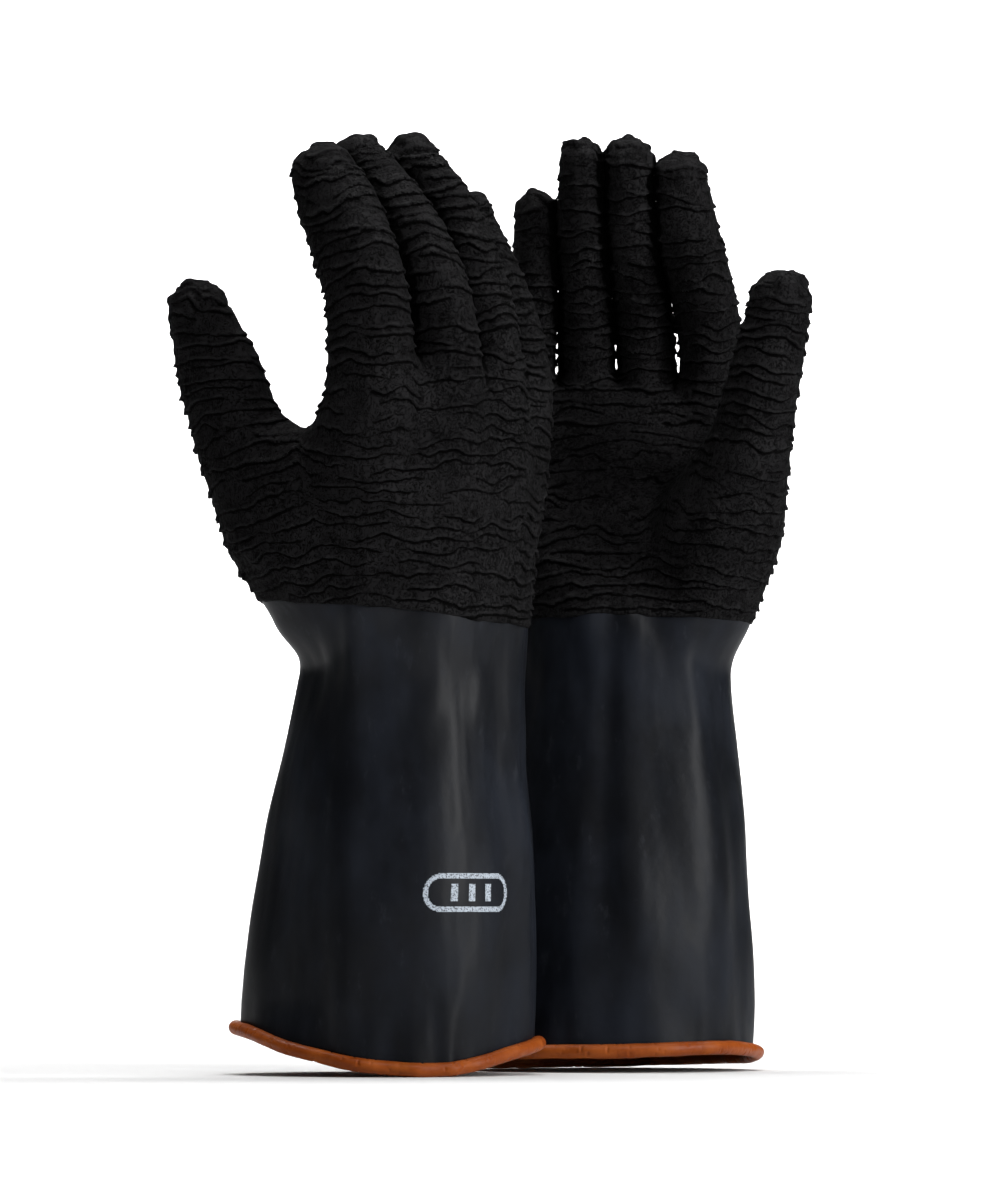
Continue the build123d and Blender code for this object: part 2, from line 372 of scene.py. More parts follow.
# ------------------------------------------------------------------ one glove's shape
class Shape:
    """The distance field of one glove, in its own frame."""

    def __init__(self, name):
        self.name = name
        self.plan = GLOVES[name]
        self.seed = self.plan["seed"]
        wrist = JOINTS[f"{name}_wrist_flex"]
        axis = np.array(wrist["axis"])
        self.side = axis
        self.back = np.array((-axis[1], axis[0], 0.0))
        self.origin = np.array(wrist["pos_m"]) / MM - 1.5 * self.back
        self.origin[2] = 0.0
        sections = (*self.plan["sections"], *PALM_SECTIONS)
        self.section_table = through(sections, np.arange(0.0, sections[-1][0], TABLE_STEP))
        self.digits = {digit: self.digit_table(digit) for digit in DIGITS}

    def to_world(self, local):
        """Points of the glove's frame, in mm, as points of the row frame, in metres."""
        local = np.asarray(local, float)
        world = self.origin + local[..., :1] * self.side + local[..., 1:2] * self.back
        world[..., 2] += local[..., 2]
        return world * MM

    def to_local(self, world_m):
        """A point of the row frame, in metres, as a point of the glove's frame, in mm."""
        away = np.asarray(world_m, float) / MM - self.origin
        return np.stack([away @ self.side, away @ self.back, away[..., 2]], -1)

    def digit_table(self, digit):
        """Centre, half sizes and direction of a digit at even steps of height."""
        knots = list(self.plan["rays"].get(digit, RAYS[digit])) + list(self.plan["tips"][digit])
        if digit != "thumb":
            spread, *rest = RAY_FOOT
            knots.insert(0, (RAYS[digit][-1][0] * spread, *rest))
        by_height = [(z, x, y, a, b) for x, y, z, a, b in knots]
        heights = np.arange(by_height[0][0], by_height[-1][0] + TABLE_STEP, TABLE_STEP)
        table = through(by_height, heights)
        run = np.gradient(table[:, :2], TABLE_STEP, axis=0)
        length = np.sqrt(1.0 + (run**2).sum(1))
        table = np.column_stack([table, run / length[:, None], 1.0 / length]).astype(np.float32)
        return float(heights[0]), float(heights[-1]), table

    def sleeve(self, x, y, z):
        """Distance from the sleeve and palm."""
        i = np.clip((z / TABLE_STEP).astype(np.int32), 0, len(self.section_table) - 1)
        cx, cy, a, b = (self.section_table[:, k].astype(np.float32)[i] for k in range(4))
        u, v = (x - cx) / a, (y - cy) / b
        r = np.sqrt(u * u + v * v) + 1e-4
        slope = np.sqrt((u / a) ** 2 + (v / b) ** 2) / r + 1e-4
        around = np.clip((r - 1.0) / slope, -FAR, FAR)
        return -smooth_min(-around, self.plan["palm_top"] - z, PALM_TOP_BLEND)

    def digit(self, name, x, y, z):
        """Distance from one digit and the ray of the hand below it."""
        low, high, table = self.digits[name]
        at = np.clip(z, low, high)
        for _ in range(2):
            i = ((at - low) / TABLE_STEP).astype(np.int32)
            along = (x - table[i, 0]) * table[i, 4] + (y - table[i, 1]) * table[i, 5]
            along += (z - at) * table[i, 6]
            at = np.clip(at + along * table[i, 6], low, high)
        i = ((at - low) / TABLE_STEP).astype(np.int32)
        cx, cy, a, b, tx, ty, tz = (table[i, k] for k in range(7))
        dx, dy, dz = x - cx, y - cy, z - at
        along = dx * tx + dy * ty + dz * tz
        flat = np.sqrt(tx * tx + tz * tz)
        across = (dx * tz - dz * tx) / flat
        deep = np.sqrt(np.maximum(dx * dx + dy * dy + dz * dz - along**2 - across**2, 0.0))
        u, v, w = across / a, deep / b, along / (a * TIP_LENGTH)
        r = np.sqrt(u * u + v * v + w * w) + 1e-4
        slope = np.sqrt((u / a) ** 2 + (v / b) ** 2 + (w / (a * TIP_LENGTH)) ** 2) / r + 1e-4
        return np.clip((r - 1.0) / slope, -FAR, FAR)

    def field(self, x, y, z):
        """Distance from the whole glove's base surface, negative inside."""
        apart = smoothstep(*self.plan["webs"], z)
        reach = RAY_BLEND + (WEB_BLEND - RAY_BLEND) * apart
        fingers = [self.digit(name, x, y, z) for name in DIGITS[1:]]
        nearest = None
        for number, own in enumerate(fingers):
            kept = own
            for other in fingers[max(number - 1, 0) : number + 2]:
                if other is not own:
                    kept = np.maximum(kept, 0.5 * (own - other) + FINGER_GAP)
            kept = own + apart * (kept - own)
            nearest = kept if nearest is None else smooth_min(nearest, kept, reach)
        thumb_reach = THUMB_BLEND - (THUMB_BLEND - PALM_BLEND) * smoothstep(*THUMB_WEB, z)
        nearest = smooth_min(nearest, self.digit("thumb", x, y, z), thumb_reach)
        return smooth_min(self.sleeve(x, y, z), nearest, PALM_BLEND)

    def slope(self, points):
        """Field and its unit gradient at points."""
        x, y, z = points.T.astype(np.float32)
        step = np.float32(0.15)
        value = self.field(x, y, z)
        grad = np.stack(
            [
                self.field(x + step, y, z) - self.field(x - step, y, z),
                self.field(x, y + step, z) - self.field(x, y - step, z),
                self.field(x, y, z + step) - self.field(x, y, z - step),
            ],
            -1,
        )
        size = np.linalg.norm(grad, axis=1)
        return value, grad / np.maximum(size, 1e-6)[:, None], size / (2 * step)

    def fold(self, shape_of_fold, c, s, z, slant=0.0):
        """One kind of fold: noise round the sleeve, which may slant."""
        height, around, length, change = shape_of_fold
        return height * noise(c * around + slant, s * around - slant, z / length, self.seed + change)

    def folds(self, points):
        """How far the soft sleeve stands in or out at points, in mm, fading out over the hand."""
        x, y, z = points.T
        angle = np.arctan2(y - 1.0, x)
        c, s = np.cos(angle), np.sin(angle)
        out = self.fold(LONG_FOLDS, c, s, z)
        out += self.fold(FLUTES, c, s, z)
        out += self.fold(SLANTED_FOLDS, c, s, z, z / SLANT_LENGTH)
        out += self.fold(FINE_FLUTES, c, s, z)
        out += (1.0 - smoothstep(*RIM_FADE, z)) * self.fold(RIM_FOLDS, c, s, z)
        wrist = np.exp(-(((z - WRIST_FOLD_HEIGHT) / WRIST_FOLD_REACH) ** 2))
        out += wrist * self.fold(WRIST_FOLDS, c, s, z)
        for place, height, width in self.plan["creases"]:
            row = z * 0 + place
            sway = 3.0 * noise(z / 46.0, row, z * 0, self.seed + 6)
            turn = np.degrees((angle - math.radians(place) + math.pi) % (2 * math.pi) - math.pi) + sway
            fade = 0.75 + 0.35 * noise(z / 40.0, row, z * 0, self.seed + 7)
            out += height * smoothstep(2.0, 30.0, z) * fade * np.exp(-((turn / width) ** 2))
        return out * (1.0 - smoothstep(*HAND_FADE, z))

    def edge(self, points):
        """Height of the crinkled coat's wavy lower edge, round the wrist."""
        height, swing, peak = self.plan["edge"]
        angle = np.arctan2(points[:, 1] - 3.0, points[:, 0])
        wave = swing * np.cos(angle - math.radians(peak))
        ragged = noise(np.cos(angle) * 6, np.sin(angle) * 6, angle * 0, self.seed + 9)
        return height + wave + 0.7 * ragged

    def rim(self, angle):
        """Height of the bead's centre round the mouth, whose sides stand off the floor."""
        out = np.cos(angle)[..., None] * self.side + np.sin(angle)[..., None] * self.back
        sideways, near = out[..., 0], -out[..., 1]
        rest, left, right, front = self.plan["lift"]
        away = np.where(sideways < rest, (rest - sideways) / (1 + rest), (sideways - rest) / (1 - rest))
        lift = np.where(sideways < rest, left, right) * away**2 + front * smoothstep(-0.5, 0.9, near)
        wave = 1 + noise(np.cos(angle) * 3, np.sin(angle) * 3, angle * 0, self.seed + 12)
        return BEAD_FLOOR + lift + wave * BEAD_WAVE


# ------------------------------------------------------------------ crinkle
def tilt_of(table, low, high, x, y, z):
    """How far up a digit's own direction points lie, over its middle line."""
    i = ((np.clip(z, low, high) - low) / TABLE_STEP).astype(np.int32)
    return (x - table[i, 0]) * table[i, 4] + (y - table[i, 1]) * table[i, 5]


def ridges(shape, x, y, u, labels, seed):
    """Height of the wavy ridges, from 0 to about 1, and of the grooves under them, dented and given painted
    shadow.
    """
    height = np.zeros_like(x)
    groove = np.zeros_like(x)
    calm_x, calm_z, wide, tall, share = shape.plan["calm"]
    z = labels["height"]
    calm = np.exp(-(((x - calm_x) / wide) ** 2) - ((z - calm_z) / tall) ** 2) * (y < 5.0)
    count = np.floor(u / RIDGE_SPACING)
    for offset in (-1, 0, 1, 2):
        ridge = count + offset
        own = ridge * 7.31
        gap = u - ridge * RIDGE_SPACING
        for length, wave, change in WANDER:
            gap -= wave * noise(x / length, y / length, own, seed + change)
        strength = smoothstep(-0.75, 0.05, noise(x / 13, y / 13, own + 3.0, seed + 5))
        strength *= 0.8 + 0.4 * noise(x / 3.2, y / 3.2, own + 5.0, seed + 6)
        strength *= 1.0 - share * calm
        slope = np.where(gap > 0, RIDGE_UPPER_SLOPE, RIDGE_LOWER_SLOPE)
        height = np.maximum(height, strength * np.exp(-((gap / slope) ** 2)))
        below = (gap + GROOVE_BELOW) / GROOVE_WIDTH
        groove = np.maximum(groove, strength * np.exp(-(below**2)))
    groove *= (1.0 - np.minimum(height * 2.0, 1.0)) * (1.0 - 0.8 * labels["tip"])
    return height, groove


def crinkle(shape, points, labels):
    """Height of the crinkled coat over its smooth ground, how far it droops, and its tone of painted light
    and shade.
    """
    x, y, z = points.T
    low, high, table = shape.digits["thumb"]
    u = z + THUMB_TILT * tilt_of(table, low, high, x, y, z) * labels["thumb_share"]
    for number, name in enumerate(DIGITS[1:], 1):
        low, high, table = shape.digits[name]
        tilt = tilt_of(table, low, high, x, y, z) * smoothstep(*TILT_HEIGHTS, z)
        u += FINGER_TILT * np.where(labels["nearest"] == number, tilt, 0.0)
    seed = shape.seed * 7
    sag = TIP_SAG * labels["tip"] * noise(x / 6.5, y / 6.5, z / 9, seed + 12)
    for length, upwards, wave, change in SAG:
        sag += wave * noise(x / length, y / length, z / upwards, seed + change)
    height, groove = ridges(shape, x, y, u + sag, labels, seed)
    creases = 1.0 - 2.2 * np.abs(noise(x / 1.5, y / 1.5, u / 5.0, seed + 7))
    net = 1.0 - 2.2 * np.abs(noise(x / 2.6, y / 2.6, u / 3.4, seed + 8))
    where = 0.55 + 0.45 * noise(x / 12, y / 12, z / 12, seed + 10)
    swell = SWELL * noise(x / 7, y / 7, z / 6, seed + 11)
    ridge = RIDGE_HEIGHT * height
    lumps = np.maximum(noise(x / 4.2, y / 4.2, z / 4.2, seed + 14), 0.0)
    coat = ridge - GROOVE_DEPTH * groove + (CREASE_HEIGHT * creases + NET_HEIGHT * net) * where + swell
    coat += TIP_KNOBS * labels["tip"] * lumps
    # tone is painted light and shade: high on ridge tops for a painted highlight, low in the grooves under
    # the ridges for a painted shadow and in crevices between digits for painted shade, and following the
    # crepe net as painted shading
    tone = height + NET_PAINTED_SHADING * net - GROOVE_PAINTED_SHADOW * groove - CREVICE_PAINTED_SHADE * labels["crevice_shade"]
    return coat, RIDGE_DROOP * ridge, tone


# ------------------------------------------------------------------ meshes
def quads_of(shape, voxel, inset, bottom):
    """Points and quads of the glove's surface above a height, shrunk by the inset."""
    low = np.array((*MESH_LOW, bottom))
    axes = [np.arange(a, b, voxel, dtype=np.float32) for a, b in zip(low, MESH_HIGH)]
    shown = np.full([len(a) for a in axes], FIELD_LIMIT, np.float32)
    for start in range(0, len(axes[2]), SLAB):
        x, y, z = np.meshgrid(axes[0], axes[1], axes[2][start : start + SLAB], indexing="ij")
        near = shape.sleeve(x, y, z) < NEAR_SLEEVE
        for table_low, table_high, table in shape.digits.values():
            if z[0, 0, -1] < table_low - DIGIT_ENDS[0] or z[0, 0, 0] > table_high + DIGIT_ENDS[1]:
                continue
            i = ((np.clip(z, table_low, table_high) - table_low) / TABLE_STEP).astype(np.int32)
            beside = np.abs(x - table[i, 0]) < table[i, 2] + NEAR_DIGIT[0]
            near |= beside & (np.abs(y - table[i, 1]) < table[i, 3] + NEAR_DIGIT[1])
        values = np.full(x.shape, FIELD_LIMIT, np.float32)
        values[near] = (shape.field(x[near], y[near], z[near]) + inset) / voxel
        shown[:, :, start : start + SLAB] = np.clip(values, -FIELD_LIMIT, FIELD_LIMIT)
    grid = openvdb.FloatGrid(FIELD_LIMIT)
    grid.copyFromArray(shown)
    points, quads = grid.convertToQuads(0.0)
    return low + points.astype(float) * voxel, quads.astype(np.int64)


def corner_normals(points, quads):
    """Vertex normals of a quad mesh."""
    a, b, c, d = (points[quads[:, k]] for k in range(4))
    face = np.cross(c - a, d - b)
    total = np.zeros_like(points)
    for k in range(4):
        for axis in range(3):
            total[:, axis] += np.bincount(quads[:, k], face[:, axis], len(points))
    return total / np.maximum(np.linalg.norm(total, axis=1), 1e-9)[:, None]


def make_object(name, points_m, faces, normals=None, tone=None):
    """A smooth mesh object from points in metres, keeping only the points that its faces use."""
    used, faces = np.unique(faces, return_inverse=True)
    faces = faces.reshape(-1, 4)
    mesh = bpy.data.meshes.new(name)
    mesh.vertices.add(len(used))
    mesh.vertices.foreach_set("co", points_m[used].astype(np.float32).ravel())
    mesh.loops.add(faces.size)
    mesh.loops.foreach_set("vertex_index", faces.ravel().astype(np.int32))
    mesh.polygons.add(len(faces))
    mesh.polygons.foreach_set("loop_start", np.arange(0, faces.size, 4, dtype=np.int32))
    mesh.update(calc_edges=True)
    mesh.validate()
    mesh.shade_smooth()
    # tone, where given, is the coat's painted light and shade, kept on the points for the material
    if tone is not None:
        shade = mesh.attributes.new("tone", "FLOAT", "POINT")
        shade.data.foreach_set("value", tone[used].astype(np.float32))
    if normals is not None:
        mesh.normals_split_custom_set_from_vertices(normals[used].astype(np.float32))
    made = bpy.data.objects.new(name, mesh)
    bpy.context.scene.collection.objects.link(made)
    return made


def along_digit(distances, name):
    """The thumb's or the fingers' entry of SEAM or TURN."""
    return distances["thumb" if name == "thumb" else "finger"]


def digit_places(shape, points):
    """For each point: its nearest digit, its place on it, and how far in mm it is past each pivot."""
    x, y, z = points.T.astype(np.float32)
    fields = np.stack([shape.digit(name, x, y, z) for name in DIGITS])
    palm = shape.sleeve(x, y, z)
    others = np.minimum(fields[1:].min(0), palm)
    past = {}
    for name in DIGITS:
        pivot = shape.to_local(JOINTS[f"{shape.name}_{name}_flex"]["pos_m"])
        low, _, table = shape.digits[name]
        direction = table[int((pivot[2] - low) / TABLE_STEP), 4:7]
        past[name] = ((points - pivot) @ direction, pivot, direction)
    nearest = fields.argmin(0)
    neighbour = np.partition(fields, 1, axis=0)[1]
    above_web = smoothstep(*shape.plan["webs"], points[:, 2])
    tops = np.array([shape.digits[name][1] for name in DIGITS])
    return {
        "height": points[:, 2],
        "nearest": nearest,
        "tip": smoothstep(*TIP_ZONE, points[:, 2] - tops[nearest]),
        # a mask for painted shade in the crevices between digits, above the webs, where a neighbouring digit
        # is near
        "crevice_shade": above_web * (1.0 - smoothstep(0.4 * CREVICE_SHADE_REACH, CREVICE_SHADE_REACH, neighbour)),
        "thumb_share": 1.0 - smoothstep(*THUMB_SIDE, fields[0] - others),
        "past": past,
    }


def split_pieces(shape, kind, points, places, quads, normals, material, replaced, tone=None):
    """Cuts a hand mesh into the hand and its digits at seams past each joint, and hangs the hand on its
    body.
    """
    owner = np.full(len(quads), -1)
    nearest = places["nearest"][quads[:, 0]]
    for number, name in enumerate(DIGITS):
        beyond = places["past"][name][0][quads].min(1) > along_digit(SEAM, name)
        owner[beyond & (nearest == number)] = number
    world = shape.to_world(points)
    turned = normals[:, :1] * shape.side + normals[:, 1:2] * shape.back
    turned[:, 2] += normals[:, 2]
    hand = make_object(f"{shape.name}_hand_{kind}", world, quads[owner < 0], turned, tone)
    dress(hand, material)
    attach(hand, f"{shape.name}_hand")
    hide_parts(*replaced("hand"))
    for number, name in enumerate(DIGITS):
        piece = make_object(f"{shape.name}_{name}_{kind}", world, quads[owner == number], turned, tone)
        dress(piece, material)
        _, pivot, direction = places["past"][name]
        start, end = (shape.to_world(pivot + direction * reach) for reach in along_digit(TURN, name))
        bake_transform(piece)
        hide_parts(*replaced(name))


def dress(piece, material):
    piece.data.materials.append(material)


def settle(shape, points, inset):
    """Moves meshed points onto the field's true surface."""
    value, direction, steepness = shape.slope(points)
    return points - direction * ((value + inset) / np.maximum(steepness, 0.5))[:, None], direction


def hand_skin(shape, material):
    """The crinkled coat of the hand and digits."""
    points, quads = quads_of(shape, SKIN_VOXEL, 0.0, SKIN_BOTTOM)
    points, direction = settle(shape, points, 0.0)
    places = digit_places(shape, points)
    flat = direction * (1, 1, 0)
    flat /= np.maximum(np.linalg.norm(flat, axis=1), 1e-6)[:, None]
    over = points[:, 2] - shape.edge(points)
    rise = smoothstep(*EDGE_BLEND, over)
    coat, droop, tone = crinkle(shape, points, places)
    coat *= smoothstep(*EDGE_CALM, over) * (1.0 - EDGE_SHARE) + EDGE_SHARE
    moved = points + flat * shape.folds(points)[:, None]
    moved += direction * ((STEP_HEIGHT + coat) * rise - EDGE_SINK * (1.0 - rise))[:, None]
    moved[:, 2] -= droop * rise * smoothstep(*DROOP_FROM_EDGE, over)
    quads = quads[(over > -EDGE_TRIM)[quads].all(1)]
    normals = corner_normals(moved, quads)
    if (normals * direction).sum(1).mean() < 0:
        quads = quads[:, ::-1]
        normals = -normals

    def replaced(part):
        if part == "hand":
            return [f"{shape.name}_hand_outer"]
        return [f"{shape.name}_{part}_outer", f"{shape.name}_{part}_bend"]

    split_pieces(shape, "skin", moved, places, quads, normals, material, replaced, tone)


def hand_lining(shape, material):
    """The orange inside of the hand and digits, facing inwards."""
    points, quads = quads_of(shape, LINING_VOXEL, LINING_DEPTH, LINING_BOTTOM)
    points, direction = settle(shape, points, LINING_DEPTH)
    quads = quads[(points[:, 2] > LINING_TRIM)[quads].any(1)]
    flat = direction * (1, 1, 0)
    moved = points + flat * shape.folds(points)[:, None]
    places = digit_places(shape, points)
    for number, name in enumerate(DIGITS):
        from_bend = (places["past"][name][0] - sum(along_digit(TURN, name)) / 2) / LINING_SLACK_REACH
        slack = LINING_SLACK * np.exp(-(from_bend**2)) * (places["nearest"] == number)
        moved -= direction * slack[:, None]
    normals = corner_normals(moved, quads)
    if (normals * direction).sum(1).mean() > 0:
        quads = quads[:, ::-1]
        normals = -normals

    def replaced(part):
        return [f"{shape.name}_{part}_lining"]

    split_pieces(shape, "lining", moved, places, quads, normals, material, replaced)


def sleeve_points(shape, angle, height, inset):
    """Points on the sleeve at angles and heights, with its folds, moved in by the inset."""
    z = np.asarray(height, float)
    i = np.clip((z / TABLE_STEP).astype(int), 0, len(shape.section_table) - 1)
    cx, cy, a, b = (shape.section_table[i, k] for k in range(4))
    c, s = np.cos(angle), np.sin(angle)
    radius = a * b / np.sqrt((b * c) ** 2 + (a * s) ** 2)
    high = z > FIELD_HEIGHTS[0]
    if high.any():
        args = [v[high] for v in (cx, cy, c, s, z)]

        def inside(reach):
            x, y = args[0] + reach * args[2], args[1] + reach * args[3]
            return shape.field(*(v.astype(np.float32) for v in (x, y, args[4]))) < 0

        hi = np.full(high.sum(), SEARCH_FROM)
        for _ in range(SEARCH_STEPS):
            hi = np.where(inside(hi - 1.0), hi, hi - 1.0)
        lo = hi - 1.0
        for _ in range(7):
            mid = 0.5 * (lo + hi)
            lo, hi = np.where(inside(mid), mid, lo), np.where(inside(mid), hi, mid)
        share = smoothstep(*FIELD_HEIGHTS, args[4])
        radius[high] = radius[high] * (1 - share) + lo * share
    points = np.stack([cx + radius * c, cy + radius * s, z], -1)
    out = shape.folds(points.reshape(-1, 3)).reshape(z.shape) - inset
    points[..., 0] += out * c
    points[..., 1] += out * s
    return points


def tube_quads(rows, around):
    """Quads of a closed tube of rows of points."""
    r, k = np.meshgrid(np.arange(rows - 1) * around, np.arange(around), indexing="ij")
    after = (k + 1) % around
    return np.stack([r + k, r + after, r + around + after, r + around + k], -1).reshape(-1, 4)


def cuff_grid(shape, inset, top, dive):
    """A sleeve wall from the bead up to above the coat's edge, where it may dive under the coat."""
    angle = np.linspace(0, 2 * math.pi, CUFF_AROUND, endpoint=False)
    share = np.linspace(0, 1, int(top / CUFF_STEP))[:, None]
    foot = shape.rim(angle)[None, :]
    z = foot + (top - foot) * share
    a = np.broadcast_to(angle, z.shape)
    points = sleeve_points(shape, a, z, inset).reshape(-1, 3)
    over = points[:, 2] - shape.edge(points)
    out = points[:, :2] - DIVE_CENTRE
    out /= np.linalg.norm(out, axis=1)[:, None]
    points[:, :2] -= out * (dive * smoothstep(*DIVE_FROM_EDGE, over))[:, None]
    return points, tube_quads(z.shape[0], CUFF_AROUND)


def cuff(shape, outer_material, lining_material):
    """The smooth black sleeve and its orange inside."""
    for kind, inset, top, dive, material, slot in (
        ("cuff_skin", 0.0, CUFF_TOP, CUFF_DIVE, outer_material, "rubber_smooth"),
        ("cuff_inside", LINING_DEPTH, INSIDE_TOP, 0.0, lining_material, "rubber_orange"),
    ):
        points, quads = cuff_grid(shape, inset, top, dive)
        if kind == "cuff_inside":
            quads = quads[:, ::-1]
        piece = make_object(f"{shape.name}_{kind}", shape.to_world(points), quads)
        dress(piece, material)
        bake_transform(piece)
        if kind == "cuff_skin":
            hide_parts(f"{shape.name}_cuff_outer", f"{shape.name}_wrist_bend")
        else:
            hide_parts(f"{shape.name}_cuff_lining")


def bead(shape, material):
    """The rolled edge of the mouth: an uneven orange tube with small nicks."""
    around, section = CUFF_AROUND * 2, BEAD_SIDES
    angle = np.linspace(0, 2 * math.pi, around, endpoint=False)
    height = shape.rim(angle)
    path = sleeve_points(shape, angle, height, 0.0)
    c, s = np.cos(angle), np.sin(angle)
    turn = np.linspace(0, 2 * math.pi, section, endpoint=False)[None, :]
    cell = (c[:, None] + 0 * turn, s[:, None] + 0 * turn)
    thick = noise(cell[0] * 9, cell[1] * 9, turn * 0.3, shape.seed + 20)
    nicks = noise(cell[0] * 46, cell[1] * 46, turn * 1.6, shape.seed + 21)
    radius = BEAD_RADIUS * (1 + 0.05 * thick) - BEAD_NICK * smoothstep(0.42, 0.85, nicks)
    out = BEAD_OUT + radius * np.cos(turn)
    up = radius * np.sin(turn) * BEAD_FLATNESS
    across = [path[:, :1] + c[:, None] * out, path[:, 1:2] + s[:, None] * out]
    points = np.stack([*across, np.maximum(path[:, 2:] + up, 0.0)], -1)
    r, k = np.meshgrid(np.arange(around), np.arange(section), indexing="ij")
    after, k2 = (r + 1) % around * section, (k + 1) % section
    r *= section
    quads = np.stack([r + k, after + k, after + k2, r + k2], -1).reshape(-1, 4)
    piece = make_object(f"{shape.name}_bead_roll", shape.to_world(points.reshape(-1, 3)), quads)
    dress(piece, material)
    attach(piece, f"{shape.name}_cuff")
    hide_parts(f"{shape.name}_rolled_bead")


def stadium(u, v, width, tall):
    """True inside a rounded bar of that width and height."""
    over = np.maximum(np.abs(u) - (width - tall) / 2, 0.0)
    return over**2 + v**2 < (tall / 2) ** 2


def mark(shape, material):
    """A generic print on the cuff: a rounded frame round three bars, as thin flakes of ink."""
    wide, tall = MARK_SIZE
    u, v = np.meshgrid(
        np.arange(-wide / 2, wide / 2, MARK_CELL) + MARK_CELL / 2,
        np.arange(-tall / 2, tall / 2, MARK_CELL) + MARK_CELL / 2,
        indexing="ij",
    )
    ink = stadium(u, v, wide, tall) & ~stadium(u, v, wide - 2 * MARK_LINE, tall - 2 * MARK_LINE)
    for number in (-1, 0, 1):
        ink |= (np.abs(u - number * MARK_BAR_GAP) < MARK_BAR[0] / 2) & (np.abs(v) < MARK_BAR[1] / 2)
    side = math.radians(MARK_SIDE)
    out = np.array((math.sin(side), -math.cos(side), 0.0))
    middle = math.atan2(out @ shape.back, out @ shape.side)
    corners = []
    half = MARK_CELL / 2
    for du, dv in ((-half, -half), (half, -half), (half, half), (-half, half)):
        angle = middle + (u[ink] + du) / MARK_RADIUS
        corners.append(sleeve_points(shape, angle, MARK_HEIGHT + v[ink] + dv, -MARK_LIFT))
    points = np.stack(corners, 1).reshape(-1, 3)
    key = np.round(points, 3)
    unique, index = np.unique(key, axis=0, return_inverse=True)
    quads = index.reshape(-1, 4)
    piece = make_object(f"{shape.name}_cuff_print", shape.to_world(unique), quads)
    dress(piece, material)
    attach(piece, f"{shape.name}_cuff")
    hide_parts(f"{shape.name}_cuff_mark")


# ------------------------------------------------------------------ materials
class Nodes:
    """A short way to write a node material."""

    def __init__(self, name):
        self.material = bpy.data.materials.new(name)
        self.material.use_nodes = True
        self.tree = self.material.node_tree
        self.shader = self.tree.nodes["Principled BSDF"]
        self.place = self.add("ShaderNodeTexCoord").outputs["Object"]

    def add(self, kind, inputs=None, **settings):
        node = self.tree.nodes.new(kind)
        for key, value in settings.items():
            setattr(node, key, value)
        for key, value in (inputs or {}).items():
            if isinstance(value, bpy.types.NodeSocket):
                self.tree.links.new(value, node.inputs[key])
            else:
                node.inputs[key].default_value = value
        return node

    def noise(self, size_mm, detail=3.0, roughness=0.55, stretch=(1, 1, 1), distortion=0.0):
        """Noise with features of a size in millimetres, stretched along the axes."""
        scale = self.add("ShaderNodeMapping", {"Vector": self.place})
        scale.inputs["Scale"].default_value = [1 / (size_mm * MM * k) for k in stretch]
        made = self.add(
            "ShaderNodeTexNoise",
            {
                "Vector": scale.outputs["Vector"],
                "Scale": 1.0,
                "Detail": detail,
                "Roughness": roughness,
                "Distortion": distortion,
            },
        )
        return made.outputs["Fac"]

    def ramp(self, value, low, high, to_low=0.0, to_high=1.0):
        made = self.add(
            "ShaderNodeMapRange",
            {"Value": value, "From Min": low, "From Max": high, "To Min": to_low, "To Max": to_high},
            interpolation_type="SMOOTHSTEP",
        )
        return made.outputs["Result"]

    def mix(self, share, a, b):
        made = self.add("ShaderNodeMix", data_type="RGBA")
        for socket, value in ((made.inputs[0], share), (made.inputs[6], a), (made.inputs[7], b)):
            if isinstance(value, bpy.types.NodeSocket):
                self.tree.links.new(value, socket)
            else:
                socket.default_value = value
        return made.outputs[2]

    def bump(self, height, strength, distance_mm, normal=None):
        inputs = {"Height": height, "Strength": strength, "Distance": distance_mm * MM}
        if normal is not None:
            inputs["Normal"] = normal
        return self.add("ShaderNodeBump", inputs).outputs["Normal"]

    def finish(self, colour, roughness, normal):
        for key, value in (("Base Color", colour), ("Roughness", roughness), ("Normal", normal)):
            if isinstance(value, bpy.types.NodeSocket):
                self.tree.links.new(value, self.shader.inputs[key])
            else:
                self.shader.inputs[key].default_value = value
        return self.material


